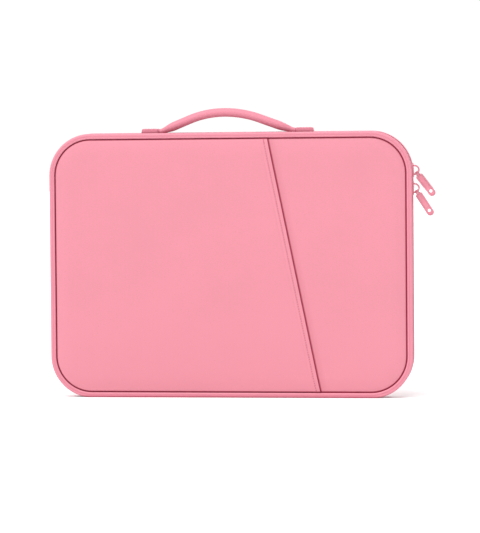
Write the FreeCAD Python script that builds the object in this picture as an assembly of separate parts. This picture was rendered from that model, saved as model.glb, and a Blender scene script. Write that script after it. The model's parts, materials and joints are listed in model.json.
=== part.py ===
import FreeCAD, Part
import math
import os

# Laptop sleeve, upright on its long edge.  Millimetres.
# X runs along the width (right is +X), Y through the depth (front is -Y), Z up.
# The origin is on the base, in the middle of the case.

# ---- case: overall sizes ----
caseWidth = 360.0
caseHeight = 262.0          # back half, without the handle
frontDrop = 1.2             # the front half's top edge lies this much lower
caseDepth = 26.0
cornerRadius = 41.0         # outside corner, seen from the front

# ---- padded rim round each half ----
rimWidth = 5.2
rimDepth = 5.8
rimFlat = 0.4               # flat left on each face between the rounded edges
rimSkin = 0.9
coreClearance = 0.05        # room round a soft core inside its cover
seamGroove = 0.6            # sunk seam between a rim and its panel

# ---- layers of the two padded walls, outside to inside ----
pocketThickness = 1.0
panelThickness = 1.0
frontFoamThickness = 2.0
backFoamThickness = 2.5
boardThickness = 0.8
liningThickness = 0.7
pocketSetBack = 0.1         # the pocket's face lies this far behind the front rim's
backSetBack = 0.6           # the back panel's face lies this far inside the back rim's

# ---- zip between the halves ----
zipSlot = 1.4               # gap that the slider's neck runs in
partingGap = 0.3            # gap between the halves along the fabric hinge
coilWidth = 1.6
coilHeight = 1.2
tapeRecess = 2.0
tapeThickness = 0.8
frontTapeWidth = 2.5        # from the rim to the edge of the slot
backTapeWidth = 2.5
stopLength = 2.4
zipEndFromCorner = 14.0     # the zip ends on the base, this far inside each corner's start

# ---- gusset: the side wall of the back half ----
gussetRecess = 1.8
gussetThickness = 1.2
gussetLiningThickness = 0.8

# ---- slip pocket on the front ----
pocketTopX = 38.4           # free edge at the upper seam
pocketBottomX = 89.2        # free edge at the lower seam
hemWidth = 6.4
hemThickness = 1.15
stitchInset = 4.6
stitchPitch = 2.4
stitchLength = 1.8
stitchWidth = 0.5
stitchHeight = 0.2

# ---- handle ----
handleCentreX = -3.2
handleHalfSpan = 70.0       # middle of the handle to the face of each tab
handleRise = 19.1           # root to the top of the arch, on the centreline
handleSlope = 23.5          # degrees, legs against the horizontal
handleRadius = 4.35
handleSkin = 1.2
handleRootRadius = 2.7
handleTaper = 11.0          # length over which a leg thins towards its root
handleEndGap = 0.6          # a leg's skin starts this far up the leg
stubReach = 1.2             # the round ends show this much between tab and leg
stubRadius = 1.9
stubLength = 7.0
stubClearance = 0.08
tabLength = 16.5
tabHeight = 5.6
tabFrontMargin = 0.9        # gusset that shows in front of a tab
tabBackMargin = 0.1         # and behind it, up to the rim
tabSlopeLength = 1.6
tabRounding = 0.8

# ---- zip sliders ----
upperSliderTurn = 2.6       # degrees past the start of the upper right corner
lowerSliderDrop = 15.8      # below the start of the same corner
sliderHalfLength = 7.0
sliderHalfWidth = 3.6
sliderTailHalfWidth = 2.4
sliderPlate = 2.1
sliderRunClearance = 0.3
sliderInnerHalfLength = 5.0
sliderInnerHalfWidth = 2.5
sliderInnerPlate = 1.3
sliderInnerClearance = 0.6
sliderNeckClearance = 0.2   # each side of the neck, in the slot
sliderSideRounding = 0.9
sliderTopRounding = 0.7
sliderNeckLow = 0.5
sliderNeckHigh = 4.5
bailRadius = 4.2
bailWire = 1.5
bailLeg = 0.8

# ---- pulls ----
upperPullAngle = 52.7       # degrees below the horizontal
lowerPullAngle = 57.3
clipRadius = 2.0
clipLength = 3.6
clipClearance = 0.15
eyeClearance = 0.08
eyeWall = 0.67
eyeLength = 2.4
eyeBack = 0.6               # the eye reaches this far behind the barrel's axis
pullLength = 25.2           # beyond the clip's barrel
pullWidth = 7.1
pullThickness = 2.2
pullBorder = 1.3
pullRecess = 0.4
pullShoulder = 2.0
pullHoleRadius = 1.5
pullHoleFromEnd = 5.4

# ---- what follows from them ----
halfWidth = caseWidth / 2
frontFace = -caseDepth / 2
backFace = caseDepth / 2
frontTop = caseHeight - frontDrop
frontRimBack = frontFace + rimDepth
backRimFront = backFace - rimDepth
rimRounding = (min(rimWidth, rimDepth) - rimFlat) / 2
panelInset = rimWidth + seamGroove
cornerX = halfWidth - cornerRadius
cornerZ = caseHeight - cornerRadius
zipPlane = frontRimBack + frontTapeWidth + zipSlot / 2      # Y of the line where the halves part
hingeHalfLength = cornerX - zipEndFromCorner                # the fabric hinge takes the rest of the base
frontHalfEdge = zipPlane - zipSlot / 2
backHalfEdge = zipPlane + zipSlot / 2
gussetFront = backHalfEdge + backTapeWidth
tabWidth = backRimFront - gussetFront - tabFrontMargin - tabBackMargin
handleY = backRimFront - tabBackMargin - tabWidth / 2
lowerSliderZ = cornerZ - lowerSliderDrop
sliderNeck = zipSlot - 2 * sliderNeckClearance
eyeOuterRadius = clipRadius + eyeClearance + eyeWall
pullStart = bailRadius + clipRadius                         # from the bail's centre
pullEnd = pullStart + pullLength

os.makedirs("parts", exist_ok=True)


def vec(x, y, z):
    return FreeCAD.Vector(x, y, z)


def save(shape, node):
    shape.exportStep("parts/" + node + ".step")


def box(lowX, highX, lowY, highY, lowZ, highZ):
    return Part.makeBox(highX - lowX, highY - lowY, highZ - lowZ, vec(lowX, lowY, lowZ))


def prism(points, y, depth):
    """A solid with straight edges, from (x, z) points, running along +Y."""
    corners = [vec(x, y, z) for x, z in points]
    face = Part.Face(Part.makePolygon(corners + corners[:1]))
    return face.extrude(vec(0, depth, 0))


def roundedPlate(inset, top, yFront, yBack):
    """The case outline, drawn in by inset, between two depths."""
    radius = cornerRadius - inset
    low = cornerRadius
    high = top - cornerRadius
    corners = ((cornerX, low, -90), (cornerX, high, 0), (-cornerX, high, 90), (-cornerX, low, 180))
    edges = []
    ends = []
    for centreX, centreZ, start in corners:
        arc = []
        for turn in (start, start + 45, start + 90):
            angle = math.radians(turn)
            x = centreX + radius * math.cos(angle)
            z = centreZ + radius * math.sin(angle)
            arc.append(vec(x, yFront, z))
        edges.append(Part.Arc(*arc).toShape())
        ends.append((arc[0], arc[2]))
    for corner in range(4):
        edges.append(Part.makeLine(ends[corner][1], ends[(corner + 1) % 4][0]))
    face = Part.Face(Part.Wire(Part.__sortEdges__(edges)))
    return face.extrude(vec(0, yBack - yFront, 0))


def band(outerInset, innerInset, top, yFront, yBack):
    return roundedPlate(outerInset, top, yFront, yBack).cut(roundedPlate(innerInset, top, yFront, yBack))


def zipRun(shape):
    """Leaves out the stretch of the lower edge that the fabric hinge takes."""
    hinge = box(-hingeHalfLength, hingeHalfLength, frontFace, backFace, -1, cornerRadius)
    return shape.cut(hinge)


def softRing(outerInset, innerInset, top, yFront, yBack, rounding):
    """A band with its long edges rounded over."""
    ring = band(outerInset, innerInset, top, yFront, yBack)
    longEdges = [edge for edge in ring.Edges if edge.BoundBox.YLength < 0.01]
    return ring.makeFillet(rounding, longEdges)


# ---- rims ----

def makeRim(name, top, yFront):
    yBack = yFront + rimDepth
    whole = softRing(0, rimWidth, top, yFront, yBack, rimRounding)
    insideRounding = rimRounding - rimSkin
    inside = softRing(rimSkin, rimWidth - rimSkin, top, yFront + rimSkin, yBack - rimSkin, insideRounding)
    coreInset = rimSkin + coreClearance
    core = softRing(
        coreInset,
        rimWidth - coreInset,
        top,
        yFront + coreInset,
        yBack - coreInset,
        rimRounding - coreInset,
    )
    save(whole.cut(inside), name + "_rim_cover")
    save(core, name + "_rim_core")


# ---- padded walls ----

def makeWalls():
    y = frontFace + pocketSetBack + pocketThickness
    layers = (
        ("front_panel", panelThickness),
        ("front_foam", frontFoamThickness),
        ("front_board", boardThickness),
        ("front_lining", liningThickness),
    )
    for node, thickness in layers:
        save(roundedPlate(panelInset, frontTop, y, y + thickness), node)
        y += thickness
    y = backFace - backSetBack
    layers = (
        ("back_panel", panelThickness),
        ("back_foam", backFoamThickness),
        ("back_board", boardThickness),
        ("back_lining", liningThickness),
    )
    for node, thickness in layers:
        save(roundedPlate(panelInset, caseHeight, y - thickness, y), node)
        y -= thickness


# ---- gusset and fabric hinge ----

def makeGusset():
    outerFace = gussetRecess
    innerFace = gussetRecess + gussetThickness
    gusset = band(outerFace, innerFace, caseHeight, gussetFront, backRimFront)
    save(zipRun(gusset), "back_gusset")
    lining = band(innerFace, innerFace + gussetLiningThickness, caseHeight, gussetFront, backRimFront)
    save(lining, "gusset_lining")
    backEdge = zipPlane + partingGap / 2
    frontEdge = zipPlane - partingGap / 2
    back = box(-hingeHalfLength, hingeHalfLength, backEdge, backRimFront, 0, innerFace)
    front = box(-hingeHalfLength, hingeHalfLength, frontRimBack, frontEdge, 0, innerFace)
    save(back, "bottom_gusset_back")
    save(front, "bottom_gusset_front")


# ---- zip tapes, coils and end stops ----

def makeZip():
    halves = (
        ("front", frontRimBack, frontHalfEdge, frontHalfEdge - coilWidth, frontHalfEdge),
        ("back", backHalfEdge, gussetFront, backHalfEdge, backHalfEdge + coilWidth),
    )
    for name, tapeFront, tapeBack, coilFront, coilBack in halves:
        tape = band(tapeRecess, tapeRecess + tapeThickness, caseHeight, tapeFront, tapeBack)
        save(zipRun(tape), name + "_zip_tape")
        coil = band(tapeRecess - coilHeight, tapeRecess, caseHeight, coilFront, coilBack)
        stopEnd = hingeHalfLength + stopLength
        coilRun = coil.cut(box(-stopEnd, stopEnd, frontFace, backFace, -1, cornerRadius))
        save(coilRun, name + "_zip_coil")
        stops = []
        stopFoot = tapeRecess - coilHeight
        for low in (-stopEnd, hingeHalfLength):
            stops.append(box(low, low + stopLength, coilFront, coilBack, stopFoot, tapeRecess))
        save(Part.makeCompound(stops), name + "_zip_stops")


# ---- slip pocket ----

def pocketEdgeX(z):
    """X of the pocket's free edge at height z."""
    lowSeam = panelInset
    highSeam = frontTop - panelInset
    share = (z - lowSeam) / (highSeam - lowSeam)
    return pocketBottomX + (pocketTopX - pocketBottomX) * share


def leftOfEdge(inset, yFront, yBack):
    """Everything to the left of a line that runs inset from the free edge."""
    lean = math.atan2(pocketBottomX - pocketTopX, frontTop - 2 * panelInset)
    shift = inset / math.cos(lean)
    points = (
        (-caseWidth, 0),
        (pocketEdgeX(0) - shift, 0),
        (pocketEdgeX(frontTop) - shift, frontTop),
        (-caseWidth, frontTop),
    )
    return prism(points, yFront, yBack - yFront)


def makePocket():
    yBack = frontFace + pocketSetBack + pocketThickness
    yFront = yBack - pocketThickness
    hemFront = yBack - hemThickness
    sheet = roundedPlate(panelInset, frontTop, yFront, yBack)
    save(sheet.common(leftOfEdge(hemWidth, yFront, yBack)), "pocket_panel")
    thickSheet = roundedPlate(panelInset, frontTop, hemFront, yBack)
    hem = thickSheet.common(leftOfEdge(0, hemFront, yBack)).cut(leftOfEdge(hemWidth, hemFront, yBack))
    save(hem, "pocket_hem")

    lean = math.atan2(pocketBottomX - pocketTopX, frontTop - 2 * panelInset)
    firstZ = panelInset + stitchPitch
    lastZ = frontTop - panelInset - stitchPitch
    stepZ = stitchPitch * math.cos(lean)
    count = int((lastZ - firstZ) / stepZ)
    stitches = []
    for number in range(count):
        z = firstZ + (number + 0.5) * stepZ
        x = pocketEdgeX(z) - stitchInset / math.cos(lean)
        stitch = box(
            -stitchWidth / 2,
            stitchWidth / 2,
            hemFront - stitchHeight,
            hemFront,
            -stitchLength / 2,
            stitchLength / 2,
        )
        stitch.rotate(vec(0, 0, 0), vec(0, 1, 0), -math.degrees(lean))
        stitch.translate(vec(x, 0, z))
        stitches.append(stitch)
    save(Part.makeCompound(stitches), "pocket_stitching")


# ---- handle ----

gussetTop = caseHeight - gussetRecess
handleAxisZ = gussetTop + tabHeight / 2
rootX = handleHalfSpan - stubReach


def handleForm(radius, rootRadius, rootGap):
    """The arched grip: a round bar on an arc, with straight legs that thin to their roots."""
    slope = math.radians(handleSlope)
    rise = rootX * math.tan(slope) - handleRise
    arcRadius = rise / (math.sin(slope) * math.tan(slope) - (1 - math.cos(slope)))
    crownZ = handleAxisZ + handleRise
    arcCentre = vec(handleCentreX, handleY, crownZ - arcRadius)
    tangentX = arcRadius * math.sin(slope)
    legLength = (rootX - tangentX) / math.cos(slope)
    arch = Part.makeTorus(
        arcRadius,
        radius,
        arcCentre,
        vec(0, -1, 0),
        -180,
        180,
        2 * handleSlope,
    )
    middle = arch.CenterOfMass - arcCentre
    turn = math.degrees(math.atan2(middle.x, middle.z))
    arch.rotate(arcCentre, vec(0, 1, 0), -turn)
    pieces = [arch]
    for side in (-1, 1):
        root = vec(handleCentreX + side * rootX, handleY, handleAxisZ)
        towardsCrown = vec(-side * math.cos(slope), 0, math.sin(slope))
        taperStart = root + towardsCrown * rootGap
        taperEnd = root + towardsCrown * handleTaper
        pieces.append(Part.makeCone(rootRadius, radius, handleTaper - rootGap, taperStart, towardsCrown))
        pieces.append(Part.makeCylinder(radius, legLength - handleTaper, taperEnd, towardsCrown))
    form = pieces[0]
    for piece in pieces[1:]:
        form = form.fuse(piece)
    return form


def withStubs(form, radius):
    """Adds the two round ends that turn in the tabs."""
    for side in (-1, 1):
        root = vec(handleCentreX + side * rootX, handleY, handleAxisZ)
        form = form.fuse(Part.makeSphere(radius, root))
        form = form.fuse(Part.makeCylinder(radius, stubReach + stubLength, root, vec(side, 0, 0)))
    return form


def makeHandle():
    coreRadius = handleRadius - handleSkin
    core = withStubs(handleForm(coreRadius, stubRadius, 0), stubRadius)
    save(core, "handle_core")
    roomRadius = coreRadius + coreClearance
    roomRoot = stubRadius + coreClearance
    room = withStubs(handleForm(roomRadius, roomRoot, 0), roomRoot)
    cover = handleForm(handleRadius, handleRootRadius, handleEndGap).cut(room)
    save(cover, "handle_cover")


def makeTab(name, side):
    """A folded tab sewn flat on the gusset, with a bore for the handle's round end."""
    inner = handleCentreX + side * handleHalfSpan
    outer = inner + side * tabLength
    points = (
        (inner, gussetTop),
        (inner, gussetTop + tabHeight),
        (outer - side * tabSlopeLength, gussetTop + tabHeight),
        (outer, gussetTop),
    )
    tab = prism(points, handleY - tabWidth / 2, tabWidth)
    topEdges = []
    for edge in tab.Edges:
        spansTop = edge.BoundBox.ZMin > gussetTop + tabHeight - 0.01
        if spansTop and edge.BoundBox.XLength > 1:
            topEdges.append(edge)
    tab = tab.makeFillet(tabRounding, topEdges)
    mouth = vec(inner, handleY, handleAxisZ)
    bore = Part.makeCylinder(stubRadius + stubClearance, stubLength + 1, mouth, vec(side, 0, 0))
    save(tab.cut(bore), name)


# ---- sliders: built on the right side of the case, then turned to where they rest ----

coilFaceX = halfWidth - tapeRecess + coilHeight
plateLowX = coilFaceX + sliderRunClearance
plateTopX = plateLowX + sliderPlate
bailCentreX = plateTopX + bailLeg
innerPlateTopX = halfWidth - tapeRecess - tapeThickness - sliderInnerClearance


def sliderBody(z):
    outline = (
        (-sliderTailHalfWidth, -sliderHalfLength),
        (sliderTailHalfWidth, -sliderHalfLength),
        (sliderHalfWidth, 0),
        (sliderHalfWidth, sliderNeckHigh),
        (sliderTailHalfWidth, sliderHalfLength),
        (-sliderTailHalfWidth, sliderHalfLength),
        (-sliderHalfWidth, sliderNeckHigh),
        (-sliderHalfWidth, 0),
    )
    corners = [vec(plateLowX, zipPlane + across, z + along) for across, along in outline]
    plate = Part.Face(Part.makePolygon(corners + corners[:1])).extrude(vec(sliderPlate, 0, 0))
    sideEdges = [edge for edge in plate.Edges if edge.BoundBox.XLength > sliderPlate / 2]
    plate = plate.makeFillet(sliderSideRounding, sideEdges)
    topEdges = [edge for edge in plate.Edges if edge.BoundBox.XMin > plateTopX - 0.01]
    plate = plate.makeFillet(sliderTopRounding, topEdges)
    innerPlate = box(
        innerPlateTopX - sliderInnerPlate,
        innerPlateTopX,
        zipPlane - sliderInnerHalfWidth,
        zipPlane + sliderInnerHalfWidth,
        z - sliderInnerHalfLength,
        z + sliderInnerHalfLength,
    )
    neck = box(
        innerPlateTopX,
        plateLowX,
        zipPlane - sliderNeck / 2,
        zipPlane + sliderNeck / 2,
        z + sliderNeckLow,
        z + sliderNeckHigh,
    )
    return plate.fuse(neck).fuse(innerPlate)


def sliderBail(z):
    """A half ring of wire on two short legs."""
    centre = vec(bailCentreX, zipPlane, z)
    ring = Part.makeTorus(bailRadius, bailWire / 2, centre, vec(0, 1, 0))
    reach = bailRadius + bailWire
    outerHalf = box(
        bailCentreX,
        bailCentreX + reach,
        zipPlane - bailWire,
        zipPlane + bailWire,
        z - reach,
        z + reach,
    )
    bail = ring.common(outerHalf)
    for side in (-1, 1):
        foot = vec(plateTopX, zipPlane, z + side * bailRadius)
        bail = bail.fuse(Part.makeCylinder(bailWire / 2, bailLeg, foot, vec(1, 0, 0)))
    return bail


def pullClip():
    """A barrel threaded on the bail, with the bail's centre at the origin."""
    barrel = Part.makeCylinder(clipRadius, clipLength, vec(bailRadius, 0, -clipLength / 2))
    wireRoom = Part.makeTorus(bailRadius, bailWire / 2 + clipClearance, vec(0, 0, 0), vec(0, 1, 0))
    return barrel.cut(wireRoom)


def pullOutline(margin, low, high):
    """The tab's flat shape, drawn in by margin, between two depths."""
    tipRadius = pullWidth / 2 - margin
    tipCentre = pullEnd - pullWidth / 2
    start = pullStart + margin
    depth = high - low
    shaft = box(start, tipCentre, low, high, -tipRadius, tipRadius)
    shoulder = pullShoulder - margin / 2
    rootEdges = []
    for edge in shaft.Edges:
        if edge.BoundBox.YLength > depth / 2 and edge.BoundBox.XMax < start + 0.01:
            rootEdges.append(edge)
    shaft = shaft.makeFillet(shoulder, rootEdges)
    tip = Part.makeCylinder(tipRadius, depth, vec(tipCentre, low, 0), vec(0, 1, 0))
    return shaft.fuse(tip).removeSplitter()


def pullTab():
    """The flat tab with its eye round the clip's barrel, with the bail's centre at the origin."""
    halfThickness = pullThickness / 2
    tab = pullOutline(0, -halfThickness, halfThickness)
    recessFloor = halfThickness - pullRecess
    for low, high in ((-halfThickness, -recessFloor), (recessFloor, halfThickness)):
        tab = tab.cut(pullOutline(pullBorder, low, high))
    eye = Part.makeCylinder(eyeOuterRadius, eyeLength, vec(bailRadius, 0, -eyeLength / 2))
    behind = box(
        bailRadius - eyeOuterRadius - 1,
        bailRadius - eyeBack,
        -eyeOuterRadius,
        eyeOuterRadius,
        -eyeLength,
        eyeLength,
    )
    tab = tab.fuse(eye.cut(behind))
    barrelRoom = Part.makeCylinder(clipRadius + eyeClearance, pullWidth, vec(bailRadius, 0, -pullWidth / 2))
    holeStart = vec(pullEnd - pullHoleFromEnd, -halfThickness, 0)
    hole = Part.makeCylinder(pullHoleRadius, pullThickness, holeStart, vec(0, 1, 0))
    return tab.cut(barrelRoom).cut(hole)


def placeOnSlider(shape, pullAngle, z):
    """Turns a pull's piece down by pullAngle and moves it to the bail."""
    shape.rotate(vec(0, 0, 0), vec(0, 1, 0), pullAngle)
    shape.translate(vec(bailCentreX, zipPlane, z))
    return shape


def makeSlider(name, z, cornerTurn, pullAngle):
    pieces = {
        name + "_slider_body": sliderBody(z),
        name + "_slider_bail": sliderBail(z),
        name + "_pull_clip": placeOnSlider(pullClip(), pullAngle + cornerTurn, z),
        name + "_pull_tab": placeOnSlider(pullTab(), pullAngle + cornerTurn, z),
    }
    for node, shape in pieces.items():
        shape.rotate(vec(cornerX, 0, cornerZ), vec(0, -1, 0), cornerTurn)
        save(shape, node)


makeRim("front", frontTop, frontFace)
makeRim("back", caseHeight, backRimFront)
makeWalls()
makeGusset()
makeZip()
makePocket()
makeHandle()
makeTab("handle_tab_left", -1)
makeTab("handle_tab_right", 1)
makeSlider("upper", cornerZ, upperSliderTurn, upperPullAngle)
makeSlider("lower", lowerSliderZ, 0, lowerPullAngle)
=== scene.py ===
import bpy
import bmesh
import json
import math
from mathutils import Matrix, Vector, noise


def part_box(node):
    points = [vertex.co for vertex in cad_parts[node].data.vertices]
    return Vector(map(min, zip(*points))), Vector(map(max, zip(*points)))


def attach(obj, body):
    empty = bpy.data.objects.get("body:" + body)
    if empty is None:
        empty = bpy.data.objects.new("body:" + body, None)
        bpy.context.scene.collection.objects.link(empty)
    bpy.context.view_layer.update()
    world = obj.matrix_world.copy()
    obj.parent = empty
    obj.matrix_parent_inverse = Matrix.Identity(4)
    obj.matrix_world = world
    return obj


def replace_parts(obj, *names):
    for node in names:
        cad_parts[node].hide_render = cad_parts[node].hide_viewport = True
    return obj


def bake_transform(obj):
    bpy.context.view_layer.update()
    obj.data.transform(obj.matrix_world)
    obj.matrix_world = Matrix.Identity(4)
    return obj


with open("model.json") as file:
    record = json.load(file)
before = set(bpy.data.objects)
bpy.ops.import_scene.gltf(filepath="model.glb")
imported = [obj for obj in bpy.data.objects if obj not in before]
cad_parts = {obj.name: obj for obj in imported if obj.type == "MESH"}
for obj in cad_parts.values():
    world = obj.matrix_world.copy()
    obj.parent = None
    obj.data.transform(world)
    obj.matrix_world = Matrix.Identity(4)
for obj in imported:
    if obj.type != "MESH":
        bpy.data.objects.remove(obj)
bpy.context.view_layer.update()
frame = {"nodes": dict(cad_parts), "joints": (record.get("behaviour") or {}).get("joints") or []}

mm = 0.001

# what the frame says about the case, in metres
frontRimLow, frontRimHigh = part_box("front_rim_cover")
backRimLow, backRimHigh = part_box("back_rim_cover")
panelLow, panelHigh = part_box("front_panel")
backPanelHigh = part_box("back_panel")[1]
frontLiningLow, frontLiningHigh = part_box("front_lining")
backLiningLow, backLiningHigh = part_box("back_lining")
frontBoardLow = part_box("front_board")[0]
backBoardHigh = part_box("back_board")[1]
gussetLow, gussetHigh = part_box("back_gusset")
hemLow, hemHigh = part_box("pocket_hem")
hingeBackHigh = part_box("bottom_gusset_back")[1]
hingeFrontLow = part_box("bottom_gusset_front")[0]
joints = {joint["name"]: joint for joint in frame["joints"]}
zipY = joints["cover_hinge"]["pos_m"][1]
halfWidth = frontRimHigh.x
frontTop = frontRimHigh.z
backTop = backRimHigh.z
panelInset = halfWidth - panelHigh.x
seamGap = 0.6 * mm          # between a rim and its panel
rimWidth = panelInset - seamGap


# camera and light

studio = {
    "turn": 8.4,            # degrees round to the right
    "rise": 2.0,            # degrees above the level
    "roll": -0.48,
    "distance": 2.7,
    "aim": (8.5 * mm, 128.9 * mm),   # across the view and up
    "lens": 184.4,
    "floorSize": 60.0,
    "floorColour": (0.84, 0.835, 0.835, 1),
    "floorGlow": 0.10,
    "horizonLight": 1.02,
    "skyLight": 0.80,
    "skyStart": 0.10,       # height above the horizon where the sky begins to darken
    "skyEnd": 0.45,
    "sunPower": 2.6,
    "sunSpread": 55.0,      # degrees across, for soft shadows
    "sunPlace": (-0.36, -0.62, 1.0),
    "rearPower": 0.9,       # a weaker window behind
    "rearPlace": (0.3, 0.8, 0.6),
}


def lookAt(thing, place, target, roll=0.0):
    thing.location = place
    turn = (Vector(target) - Vector(place)).to_track_quat("-Z", "Y").to_matrix().to_4x4()
    thing.rotation_euler = (turn @ Matrix.Rotation(math.radians(roll), 4, "Z")).to_euler()


def makeCamera():
    turn = math.radians(studio["turn"])
    rise = math.radians(studio["rise"])
    across, up = studio["aim"]
    target = Vector((across * math.cos(turn), across * math.sin(turn), up))
    back = Vector((math.sin(turn) * math.cos(rise), -math.cos(turn) * math.cos(rise), math.sin(rise)))
    data = bpy.data.cameras.new("studio_camera")
    data.lens = studio["lens"]
    data.clip_start = 0.1
    data.clip_end = 200
    camera = bpy.data.objects.new("studio_camera", data)
    bpy.context.scene.collection.objects.link(camera)
    lookAt(camera, target + back * studio["distance"], target, studio["roll"])
    bpy.context.scene.camera = camera


def makeSky():
    # white at the level of the eye, greyer overhead
    world = bpy.data.worlds.new("white_studio")
    bpy.context.scene.world = world
    world.use_nodes = True
    tree = world.node_tree
    place = tree.nodes.new("ShaderNodeTexCoord")
    parts = tree.nodes.new("ShaderNodeSeparateXYZ")
    tree.links.new(place.outputs["Generated"], parts.inputs["Vector"])
    fade = tree.nodes.new("ShaderNodeMapRange")
    fade.interpolation_type = "SMOOTHSTEP"
    tree.links.new(parts.outputs["Z"], fade.inputs["Value"])
    fade.inputs["From Min"].default_value = studio["skyStart"]
    fade.inputs["From Max"].default_value = studio["skyEnd"]
    fade.inputs["To Min"].default_value = studio["horizonLight"]
    fade.inputs["To Max"].default_value = studio["skyLight"]
    sky = tree.nodes["Background"]
    sky.inputs["Color"].default_value = (1, 1, 1, 1)
    tree.links.new(fade.outputs["Result"], sky.inputs["Strength"])


def softSun(name, place, power):
    data = bpy.data.lights.new(name, "SUN")
    data.energy = power
    data.angle = math.radians(studio["sunSpread"])
    lamp = bpy.data.objects.new(name, data)
    bpy.context.scene.collection.objects.link(lamp)
    lookAt(lamp, place, (0, 0, 0))


def makeStudio():
    makeSky()
    softSun("window_light", studio["sunPlace"], studio["sunPower"])
    softSun("rear_window_light", studio["rearPlace"], studio["rearPower"])
    reach = studio["floorSize"] / 2
    mesh = bpy.data.meshes.new("floor")
    corners = [(-reach, -reach, 0), (reach, -reach, 0), (reach, reach, 0), (-reach, reach, 0)]
    mesh.from_pydata(corners, [], [(0, 1, 2, 3)])
    floor = bpy.data.objects.new("floor", mesh)
    bpy.context.scene.collection.objects.link(floor)
    paper = bpy.data.materials.new("white_paper")
    paper.use_nodes = True
    shader = paper.node_tree.nodes["Principled BSDF"]
    shader.inputs["Base Color"].default_value = studio["floorColour"]
    shader.inputs["Roughness"].default_value = 0.95
    shader.inputs["Specular IOR Level"].default_value = 0.1
    shader.inputs["Emission Color"].default_value = (1, 1, 1, 1)
    shader.inputs["Emission Strength"].default_value = studio["floorGlow"]
    mesh.materials.append(paper)
    bpy.context.scene.view_settings.view_transform = "Standard"


makeCamera()
makeStudio()
print("camera and light in place")


# where the pocket's free edge runs, and how the pocket lies
pocket = {
    "stand": 0.95 * mm,           # the pocket's leather lies this much above the panel
    "thickness": 0.4 * mm,
    "hemWidth": 6.4 * mm,
    "hemRise": 0.32 * mm,         # two layers where the edge is folded under
    "mouthLift": 0.45 * mm,       # the free edge stands off the panel
    "foldRadius": 0.55 * mm,
    "stitchInset": 3.8 * mm,
    "stitchDip": 0.18 * mm,
    "stitchPitch": 2.4 * mm,
    "stitchLength": 1.5 * mm,
    "gridStart": 9.0,             # millimetres in from the edge where the rows follow it
    "gridSteps": (8.2, 7.3, 6.6, 6.0, 5.4, 4.9, 4.5, 4.2, 4.0, 3.8, 3.6, 3.4, 3.1, 2.6, 2.0, 1.2, 0.6),
    "lineShade": 0.97,            # painted shadow: the dark line on the panel beside the edge
    "lineReach": (0.8 * mm, 2.1 * mm),
    "spotShade": 0.9,             # and a darker painted shadow spot at its upper end
    "spotReach": (0.9 * mm, 2.6 * mm),
    # a broad faint painted shade spreading right of the edge
    "softShade": 0.16,
    "softReach": 8 * mm,
}


def findFreeEdge():
    # the free edge's upper and lower ends, from the hem's right-hand points
    spots = [vertex.co for vertex in frame["nodes"]["pocket_hem"].data.vertices]
    lowEnd = max((spot for spot in spots if spot.z < hemLow.z + 0.1 * mm), key=lambda spot: spot.x)
    highEnd = max((spot for spot in spots if spot.z > hemHigh.z - 0.1 * mm), key=lambda spot: spot.x)
    return Vector((lowEnd.x, 0, lowEnd.z)), Vector((highEnd.x, 0, highEnd.z))


edgeLow, edgeHigh = findFreeEdge()
edgeAlong = (edgeHigh - edgeLow).normalized()
edgeAcross = Vector((edgeAlong.z, 0, -edgeAlong.x))     # to the right, away from the pocket


# finishes

# Every finish reads the piece's own coordinates in metres, so a scale of 1000 is a detail
# of about a millimetre.

def startFinish(name, roughness):
    finish = bpy.data.materials.new(name)
    finish.use_nodes = True
    tree = finish.node_tree
    shader = tree.nodes["Principled BSDF"]
    shader.inputs["Roughness"].default_value = roughness
    place = tree.nodes.new("ShaderNodeTexCoord")
    return finish, tree, shader, place.outputs["Object"]


def setValues(node, **values):
    # names with a capital letter are inputs, the others are the node's own
    for key, value in values.items():
        if key[0].isupper():
            node.inputs[key.replace("_", " ")].default_value = value
        else:
            setattr(node, key, value)


def addNode(tree, kind, links=(), **values):
    node = tree.nodes.new(kind)
    setValues(node, **values)
    for socket, source in links:
        tree.links.new(source, node.inputs[socket])
    return node


def noiseOf(tree, place, scale, detail, **values):
    node = addNode(tree, "ShaderNodeTexNoise", [("Vector", place)], Scale=scale, Detail=detail, **values)
    return node.outputs["Fac"]


def waveOf(tree, place, scale, distortion, direction):
    node = addNode(tree, "ShaderNodeTexWave", [("Vector", place)], Scale=scale, Distortion=distortion,
                   bands_direction=direction)
    return node.outputs["Fac"]


def attributeOf(tree, name):
    return addNode(tree, "ShaderNodeAttribute", attribute_name=name).outputs["Fac"]


def rangeOf(tree, source, low, high, newLow, newHigh):
    node = addNode(tree, "ShaderNodeMapRange", [("Value", source)], clamp=True, From_Min=low, From_Max=high,
                   To_Min=newLow, To_Max=newHigh)
    return node.outputs["Result"]


def mathOf(tree, operation, *terms, kind="ShaderNodeMath"):
    # the terms are numbers, vectors or sockets
    node = addNode(tree, kind, operation=operation)
    for index, term in enumerate(terms):
        socket = node.inputs["Scale" if operation == "SCALE" and index == 1 else index]
        if isinstance(term, bpy.types.NodeSocket):
            tree.links.new(term, socket)
        else:
            socket.default_value = term
    givesNumber = kind == "ShaderNodeMath" or operation in ("DOT_PRODUCT", "DISTANCE", "LENGTH")
    return node.outputs["Value" if givesNumber else "Vector"]


def vectorOf(tree, operation, *terms):
    return mathOf(tree, operation, *terms, kind="ShaderNodeVectorMath")


def mixColours(tree, share, first, second):
    # first and second are colours or sockets
    node = tree.nodes.new("ShaderNodeMix")
    node.data_type = "RGBA"
    for index, value in ((6, first), (7, second)):
        if isinstance(value, tuple):
            node.inputs[index].default_value = (*value, 1)
        else:
            tree.links.new(value, node.inputs[index])
    tree.links.new(share, node.inputs[0])
    return node.outputs[2]


def tint(colour, share):
    return tuple(min(1.0, part * share) for part in colour)


def varyRoughness(tree, shader, source, low, high):
    tree.links.new(rangeOf(tree, source, 0.3, 0.7, low, high), shader.inputs["Roughness"])


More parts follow.
